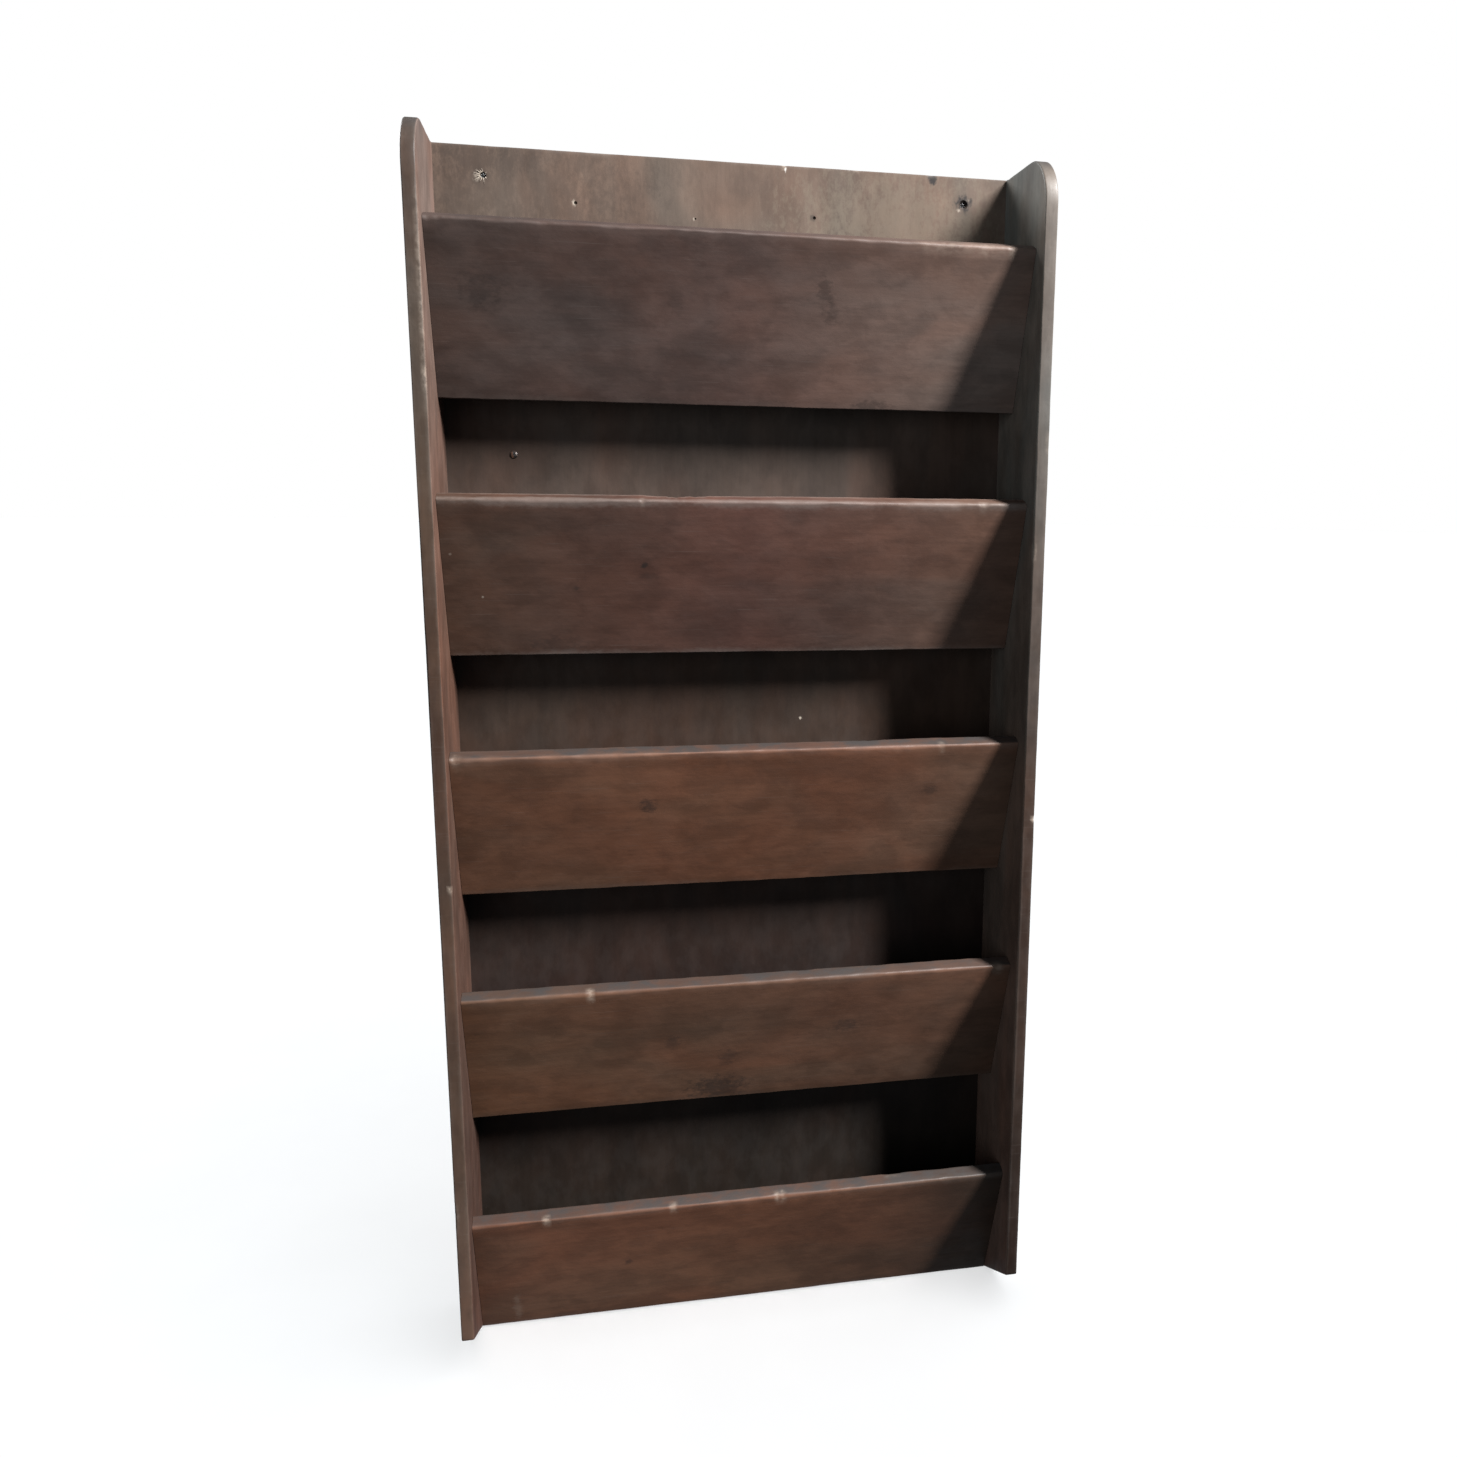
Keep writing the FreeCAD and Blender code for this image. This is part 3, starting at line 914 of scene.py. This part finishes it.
# Cover of scratches and specks, spans of roughness, and (strength, depth) of each relief.
SCRATCH_SHARE = 0.1
SPECK_SHARE = 0.2
STAIN_ROUGHNESS = (0.44, 0.62)
PORE_ROUGHNESS = 0.2
WORN_POLISH = 0.06
STREAK_RELIEF = 0.6
SCRATCH_RELIEF = 0.6
STAIN_SWELL = (0.2, 0.5 * MM)
STAIN_GRAIN = (-0.14, 0.12 * MM)
FACING_INNER = (0.5, 0.9)


def stained_wood(name, along, ends, stops, seed, marks=(), inner=None, wear=0.65, dustiness=1.0):
    """Dark stain over a grained board.

    ends are where the board starts and stops along its grain, and stops the stain's tone between
    them. inner is (sign, stops) for the tone of the face that looks along sign times +X."""
    finish = Finish(name)
    figures = wood_grain(finish, along, seed)
    travel = finish.remap(finish.split(finish.place)[along], *ends, kind="LINEAR")
    colour = finish.ramp(travel, stops)
    if inner:
        sign, inner_stops = inner
        facing = finish.remap(finish.times(finish.normal()[0], sign), *FACING_INNER)
        colour = finish.blend(facing, colour, finish.ramp(travel, inner_stops))
    colour = tinted(finish, colour, figures["hue"])
    colour = aged(finish, colour, figures, 1.0)
    colour = marked(finish, colour, marks, figures["fray"])
    scratch = scratches(finish, seed)
    colour = finish.blend(finish.times(scratch, SCRATCH_SHARE), colour, RUBBED)
    colour = finish.blend(finish.times(figures["speck"], SPECK_SHARE), colour, DUST)
    colour, worn = weathered(finish, colour, figures, wear, dustiness)
    roughness = finish.remap(figures["cloud"], 0.0, 1.0, *STAIN_ROUGHNESS)
    roughness = finish.math("ADD", roughness, finish.times(figures["pore"], PORE_ROUGHNESS))
    roughness = finish.math("SUBTRACT", roughness, finish.times(worn, WORN_POLISH))
    relief = finish.math("ADD", finish.times(figures["streak"], STREAK_RELIEF), figures["pore"])
    relief = finish.math("ADD", relief, finish.times(scratch, SCRATCH_RELIEF))
    normal = finish.bump(figures["cloud"], *STAIN_SWELL)
    normal = finish.bump(relief, *STAIN_GRAIN, normal)
    return finish.surface(colour, roughness, normal, specular=0.2)


# The core ply's edge fades into the outer plies over CORE_FADE from the panel's middle.
HALF_PANEL = 2.5 * MM
CORE_FADE = (0.72 * MM, 0.96 * MM)
EDGE_STREAKS = 0.5
FACING_BACK = (0.4, 0.8)
FACING_EDGE = (0.25, 0.55)
PLY_WEAR = 0.5
PLY_AGEING = 0.9
PLY_ROUGHNESS = (0.52, 0.7)
PLY_STREAK_RELIEF = 0.7
PLY_SWELL = (0.15, 0.4 * MM)
PLY_GRAIN = (-0.1, 0.12 * MM)
BACK_OF_PLY = (0.15, 0.1, 0.066, 1)
TORN_PALE = (0.33, 0.28, 0.23, 1)
# Near black of the burst flaps, painted shade inside the wall holes.
BURST_PAINTED_SHADE = (0.012, 0.009, 0.007, 1)


def plywood(name, ends, stops, seed, marks):
    """Stained veneer in front, paler at the top and darker towards the foot, bare weathered veneer behind,
    and plies on the edges.
    """
    finish = Finish(name)
    figures = wood_grain(finish, ALONG_Z, seed)
    height = finish.remap(finish.split(finish.place)[2], *ends, kind="LINEAR")
    colour = finish.ramp(height, stops)
    facing = finish.normal()[1]
    behind = finish.remap(facing, *FACING_BACK)
    colour = finish.blend(behind, colour, BACK_OF_PLY)
    colour = tinted(finish, colour, figures["hue"])
    colour = aged(finish, colour, figures, PLY_AGEING)
    on_edge = finish.remap(finish.math("ABSOLUTE", facing), *FACING_EDGE, 1.0, 0.0)
    depth = finish.math("ABSOLUTE", finish.math("ADD", finish.split(finish.place)[1], HALF_PANEL))
    core = finish.remap(depth, *CORE_FADE)
    plies = finish.blend(core, PLY_EDGE_DARK, PLY_EDGE_PALE)
    colour = finish.blend(on_edge, colour, darkened(finish, plies, figures["cloud"], EDGE_STREAKS))
    colour = marked(finish, colour, marks, figures["fray"])
    colour = weathered(finish, colour, figures, PLY_WEAR)[0]
    roughness = finish.remap(figures["cloud"], 0.0, 1.0, *PLY_ROUGHNESS)
    relief = finish.math("ADD", finish.times(figures["streak"], PLY_STREAK_RELIEF), figures["pore"])
    normal = finish.bump(figures["cloud"], *PLY_SWELL)
    normal = finish.bump(relief, *PLY_GRAIN, normal)
    return finish.surface(colour, roughness, normal, specular=0.18)


def torn_wood(name, tone):
    """Fibrous wood where the veneer is torn open."""
    finish = Finish(name)
    fibres = finish.noise(finish.stretched((900, 900, 900), (3, 1, 2)))
    colour = darkened(finish, tone[:3], finish.remap(fibres, 0.3, 0.7), 0.5)
    normal = finish.bump(fibres, 0.6, 0.2 * MM)
    return finish.surface(colour, 0.8, normal, specular=0.2)


def aged_steel(name, bright, rust_low, rust_high):
    """Old screw steel: dull metal with brown rust where a noise passes from rust_low to rust_high."""
    finish = Finish(name)
    patches = finish.noise(finish.stretched((420, 420, 420), (5, 2, 8)), detail=5.0, roughness=0.65)
    rust = finish.remap(patches, rust_low, rust_high)
    fine = finish.noise(finish.stretched((2600, 2600, 2600), (1, 7, 3)), detail=2.0)
    red = finish.blend(finish.remap(fine, 0.35, 0.65), (0.045, 0.018, 0.01, 1), (0.12, 0.045, 0.018, 1))
    colour = finish.blend(rust, bright, red)
    metallic = finish.remap(rust, 0.0, 1.0, 0.95, 0.05)
    roughness = finish.remap(rust, 0.0, 1.0, 0.34, 0.85)
    normal = finish.bump(finish.math("ADD", fine, rust), 0.4, 0.1 * MM)
    return finish.surface(colour, roughness, normal, metallic=metallic)


# ---- Tones and marks of each board

# Tones of each slat from its left end to its right: the stain, with painted light and shade in it.
# The top two slats grow lighter towards their right ends, a painted sheen and pool of light, and the
# bottom slat's dark right end is painted shade.
SLAT_TONES = (
    ((0, (0.031, 0.021, 0.018)), (0.5, (0.045, 0.028, 0.024)), (1, (0.088, 0.06, 0.049))),
    ((0, (0.035, 0.02, 0.014)), (0.5, (0.049, 0.025, 0.02)), (1, (0.058, 0.035, 0.026))),
    ((0, (0.056, 0.028, 0.017)), (0.5, (0.069, 0.031, 0.018)), (1, (0.061, 0.031, 0.02))),
    ((0, (0.051, 0.026, 0.015)), (0.5, (0.058, 0.029, 0.018)), (1, (0.05, 0.026, 0.017))),
    ((0, (0.066, 0.03, 0.018)), (0.5, (0.072, 0.032, 0.018)), (1, (0.022, 0.013, 0.009))),
)

# How rubbed each slat's arrises are, and how much dust lies on its top edge.
SLAT_AGEING = ((0.22, 0.45), (0.95, 0.05), (0.32, 1.15), (0.18, 1.15), (0.34, 1.15))

# Tones of the uprights from foot to top: each side's edges and outside, then its inner face.
# On the right side the edges and outside turn near black at the foot, painted shade, and pale grey at the
# top, a painted sheen.
SIDE_TONES = {
    "left": ((0, (0.055, 0.034, 0.025)), (0.25, (0.038, 0.021, 0.014)), (0.55, (0.022, 0.013, 0.009)),
             (0.75, (0.03, 0.02, 0.014)), (1, (0.034, 0.024, 0.019))),
    "right": ((0, (0.007, 0.0039, 0.0027)), (0.5, (0.025, 0.015, 0.011)), (1, (0.064, 0.059, 0.053))),
}
# The right side's inner face stands in shade; its pale tone, grey at the top, is painted light.
INNER_TONES = {
    "left": ((0, (0.039, 0.02, 0.015)), (0.6, (0.052, 0.028, 0.02)), (1, (0.09, 0.061, 0.051))),
    "right": ((0, (0.097, 0.052, 0.038)), (0.6, (0.08, 0.061, 0.049)), (1, (0.13, 0.124, 0.11))),
}
# Tones of the back's face from foot to top, much darker towards the foot.
PANEL_TONES = ((0, (0.0087, 0.0062, 0.0044)), (0.3, (0.011, 0.0067, 0.0056)), (0.55, (0.023, 0.014, 0.01)),
               (0.75, (0.034, 0.022, 0.017)), (0.97, (0.062, 0.043, 0.033)))
POCKET_FLOOR_TONES = ((0, (0.03, 0.018, 0.013)), (1, (0.03, 0.018, 0.013)))
SIDE_WEAR = 0.22

# Dark stain, also used for patches of painted shade on the back.
STAIN_AND_SHADE = (0.012, 0.009, 0.008, 1)
SPECK_PALE = (0.3, 0.26, 0.22, 1)
CHIP_WHITE = (0.55, 0.52, 0.48, 1)
# Pale colour of a patch of painted light on the back.
PAINTED_LIGHT = (0.112, 0.091, 0.066, 1)


# Marks on the boards that face the front, each frayed at its rim:
# (place along X, height, half width, half height, colour, strength).
SLAT_MARKS = (
    ((0.074, -0.1, 0.007, 0.012, STAIN_AND_SHADE, 0.42), (0.082, -0.119, 0.008, 0.008, STAIN_AND_SHADE, 0.34),
     (-0.225, -0.11, 0.017, 0.014, STAIN_AND_SHADE, 0.4), (-0.06, -0.114, 0.008, 0.008, STAIN_AND_SHADE, 0.22),
     (0.126, -0.196, 0.016, 0.005, STAIN_AND_SHADE, 0.4)),
    ((-0.091, -0.345, 0.0028, 0.0024, STAIN_AND_SHADE, 0.8), (-0.088, -0.355, 0.009, 0.003, STAIN_AND_SHADE, 0.3),
     (-0.152, -0.367, 0.003, 0.0028, STAIN_AND_SHADE, 0.5), (-0.26, -0.335, 0.0012, 0.001, SPECK_PALE, 0.2),
     (-0.235, -0.374, 0.0009, 0.0009, SPECK_PALE, 0.35), (-0.172, -0.42, 0.024, 0.007, STAIN_AND_SHADE, 0.35)),
    ((-0.091, -0.571, 0.009, 0.007, STAIN_AND_SHADE, 0.6), (0.183, -0.566, 0.008, 0.005, STAIN_AND_SHADE, 0.35)),
    ((0.1, -0.81, 0.014, 0.007, STAIN_AND_SHADE, 0.4), (-0.028, -0.878, 0.03, 0.014, STAIN_AND_SHADE, 0.6),
     (-0.017, -0.838, 0.01, 0.01, STAIN_AND_SHADE, 0.4), (-0.073, -0.815, 0.008, 0.008, STAIN_AND_SHADE, 0.35)),
    ((-0.12, -1.05, 0.004, 0.004, STAIN_AND_SHADE, 0.45), (-0.232, -1.1, 0.004, 0.02, SPECK_PALE, 0.08)),
)
PANEL_MARKS = (
    # The first mark, a broad pale patch at the top right, is painted light.
    (0.16, -0.02, 0.1, 0.05, PAINTED_LIGHT, 0.35), (-0.146, -0.0195, 0.0016, 0.0026, TORN_PALE, 0.8),
    (-0.0364, -0.027, 0.0009, 0.0014, TORN_PALE, 0.4), (0.077, -0.02, 0.003, 0.0034, STAIN_AND_SHADE, 0.6),
    (0.2295, 0.004, 0.002, 0.0016, TORN_PALE, 0.4), (0.2205, -0.0055, 0.0024, 0.002, TORN_PALE, 0.7),
    # The first mark below, a dark ring round the right wall hole, is painted shade.
    (0.225, 0.001, 0.0086, 0.0086, STAIN_AND_SHADE, 1), (-0.229, -0.001, 0.004, 0.0034, TORN_PALE, 0.5),
    (0.05, 0.0215, 0.0012, 0.003, CHIP_WHITE, 0.9), (0.193, 0.0215, 0.0042, 0.005, STAIN_AND_SHADE, 1),
    (0.066, -0.505, 0.0014, 0.0014, TORN_PALE, 0.8), (-0.23, 0.014, 0.05, 0.016, STAIN_AND_SHADE, 0.24),
    # The last mark, a broad dark patch at the top left, is painted shade.
    (-0.2, 0, 0.11, 0.06, STAIN_AND_SHADE, 0.26),
)

# Bright tone of each steel, and where in a noise its rust starts and is full.
DOME_STEEL = ((0.13, 0.12, 0.115, 1), 0.48, 0.62)
SCREW_STEEL = ((0.3, 0.27, 0.24, 1), 0.42, 0.6)
NAIL_STEEL = ((0.22, 0.2, 0.18, 1), 0.36, 0.56)

# Slats take the seeds from 1 up, so the other boards' grain starts past them.
GRAIN_SEEDS = {"left": 10, "right": 12, "panel": 15, "floors": 20}


def build_rack():
    """Every board and fastener of the rack, with its finish."""
    width = span("front_slat_1", RIGHT)
    height = span("back_panel", UP)
    floor_wood = stained_wood("pocket_floor_stain", ALONG_X, width, POCKET_FLOOR_TONES,
                              GRAIN_SEEDS["floors"])
    for tier in range(TIER_COUNT):
        wear, dustiness = SLAT_AGEING[tier]
        wood = stained_wood(f"slat_stain_{tier + 1}", ALONG_X, width, SLAT_TONES[tier], tier + 1,
                            SLAT_MARKS[tier], wear=wear, dustiness=dustiness)
        build_slat(tier, wood)
        build_pocket_floor(tier, floor_wood)
    for name, sign in (("left", -1), ("right", 1)):
        wood = stained_wood(f"side_stain_{name}", ALONG_Z, height, SIDE_TONES[name], GRAIN_SEEDS[name],
                            inner=(-sign, INNER_TONES[name]), wear=SIDE_WEAR)
        build_side(name, sign, wood)
    # The burst flaps' near-black finish is painted shade inside the wall holes.
    build_back_panel(plywood("back_plywood", height, PANEL_TONES, GRAIN_SEEDS["panel"], PANEL_MARKS),
                     torn_wood("torn_wood", TORN_PALE), torn_wood("burst_veneer_painted_shade", BURST_PAINTED_SHADE))
    build_back_screw(aged_steel("screw_head_steel", *DOME_STEEL))
    screw_finish = aged_steel("aged_screw_steel", *SCREW_STEEL)
    nail_finish = aged_steel("aged_nail_steel", *NAIL_STEEL)
    for side in ("left", "right"):
        dress(f"slat_screws_{side}", screw_finish)
        dress(f"floor_screws_{side}", screw_finish)
        dress(f"back_nails_{side}", nail_finish)
    dress("floor_nails", nail_finish)


def dress(node, material):
    """Give a fastener node that stays as designed its finish."""
    for material_slot in frame["nodes"][node].material_slots:
        material_slot.material = material


# ---- Stage, light and camera

STAGE_RADIUS = 30.0
STAGE_SIDES = 64
STAGE_TONES = ((0.80, 0.80, 0.80, 1), (0.84, 0.84, 0.84, 1))
KEY_PLACE = Vector((3.35, -3.00, 3.50))
KEY_WIDTH = 0.8
KEY_HEIGHT = 2.6
KEY_POWER = 1830.0
FILL_PLACE = Vector((-1.8, -4.0, 0.2))
FILL_SIZE = 2.5
FILL_POWER = 62.0
REAR_PLACE = Vector((-2.6, 2.6, 1.8))
REAR_SIZE = 1.5
REAR_POWER = 130.0
ROOM_LIGHT = 0.165
COOL = (0.86, 1.0, 1.12)
WASH_STRENGTH = 2.6
WASH_ANGLE = 1.0
TOP_STRENGTH = 1.0
TOP_ANGLE = math.radians(60)
TOP_PLACE = Vector((0.3, -0.4, 1.0))

CAMERA_PLACE = (-0.1310, -1.2554, -0.2717)
CAMERA_TURN = [math.radians(angle) for angle in (79.300, -0.778, -11.993)]
CAMERA_LENS = 31.012
CAMERA_SENSOR = 36.0
CAMERA_SHIFT = (-0.0964, -0.0029)


def build_floor():
    """A wide pale floor at the rack's foot."""
    finish = Finish("pale_floor")
    mottle = finish.noise(finish.stretched((6, 6, 6), (0, 0, 0)))
    tone = finish.blend(mottle, *STAGE_TONES)
    material = finish.surface(tone, 0.9, finish.bump(mottle, 0.02, 1 * MM), specular=0.0)
    angles = [2 * math.pi * k / STAGE_SIDES for k in range(STAGE_SIDES)]
    rim = [(STAGE_RADIUS * math.cos(angle), STAGE_RADIUS * math.sin(angle), 0) for angle in angles]
    mesh = bpy.data.meshes.new("floor")
    mesh.from_pydata(rim, [], [list(range(STAGE_SIDES))])
    mesh.materials.append(material)
    floor = link("floor", mesh)
    floor.location.z = CAD_BOX[0].z
    floor.visible_diffuse = False
    floor.visible_glossy = False
    floor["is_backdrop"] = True
    return floor


def lamp(name, kind, power, place, lit, **settings):
    """Lamp that shines from a place towards the origin, and only on the lit collection."""
    data = bpy.data.lights.new(name, kind)
    data.energy = power
    for key, value in settings.items():
        setattr(data, key, value)
    light = link(name, data)
    light.location = place
    light.rotation_euler = place.to_track_quat("Z", "Y").to_euler()
    light.visible_camera = False
    light.light_linking.receiver_collection = lit
    return light


def group(name, members):
    """Collection for light linking; it isn't shown by itself."""
    collection = bpy.data.collections.new(name)
    for member in members:
        collection.objects.link(member)
    return collection


def build_light(floor):
    """A tall soft key from the right and two weak fills for the rack, and even light for the floor."""
    rack = group("lit_rack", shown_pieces())
    stage = group("lit_stage", [floor])
    lamp("key", "AREA", KEY_POWER, KEY_PLACE, rack, shape="RECTANGLE", size=KEY_WIDTH, size_y=KEY_HEIGHT)
    fill = lamp("front_fill", "AREA", FILL_POWER, FILL_PLACE, rack, size=FILL_SIZE, color=COOL)
    fill.visible_glossy = False
    lamp("rear_fill", "AREA", REAR_POWER, REAR_PLACE, rack, size=REAR_SIZE)
    lamp("floor_wash", "SUN", WASH_STRENGTH, UP, stage, angle=WASH_ANGLE, use_shadow=False)
    lamp("floor_top", "SUN", TOP_STRENGTH, TOP_PLACE, stage, angle=TOP_ANGLE)


def build_room():
    """A dim, cool room that the camera sees as white."""
    world = bpy.data.worlds.new("room")
    tree = empty_tree(world)
    room = add_node(tree, "ShaderNodeBackground", {"Color": (*COOL, 1), "Strength": ROOM_LIGHT})
    pale = add_node(tree, "ShaderNodeBackground", {"Color": (1, 1, 1, 1)})
    seen = add_node(tree, "ShaderNodeLightPath").outputs["Is Camera Ray"]
    choose = add_node(tree, "ShaderNodeMixShader", {0: seen, 1: room.outputs[0], 2: pale.outputs[0]})
    add_node(tree, "ShaderNodeOutputWorld", {"Surface": choose.outputs[0]})
    bpy.context.scene.world = world


def build_camera():
    """Camera in front of the rack, a little to the left and looking slightly down."""
    data = bpy.data.cameras.new("camera")
    data.sensor_width = CAMERA_SENSOR
    data.lens = CAMERA_LENS
    data.shift_x, data.shift_y = CAMERA_SHIFT
    camera = link("camera", data)
    camera.location = CAMERA_PLACE
    camera.rotation_euler = Euler(CAMERA_TURN)
    bpy.context.scene.camera = camera


build_camera()
build_rack()
build_light(build_floor())
build_room()
bpy.context.scene.view_settings.view_transform = "Standard"
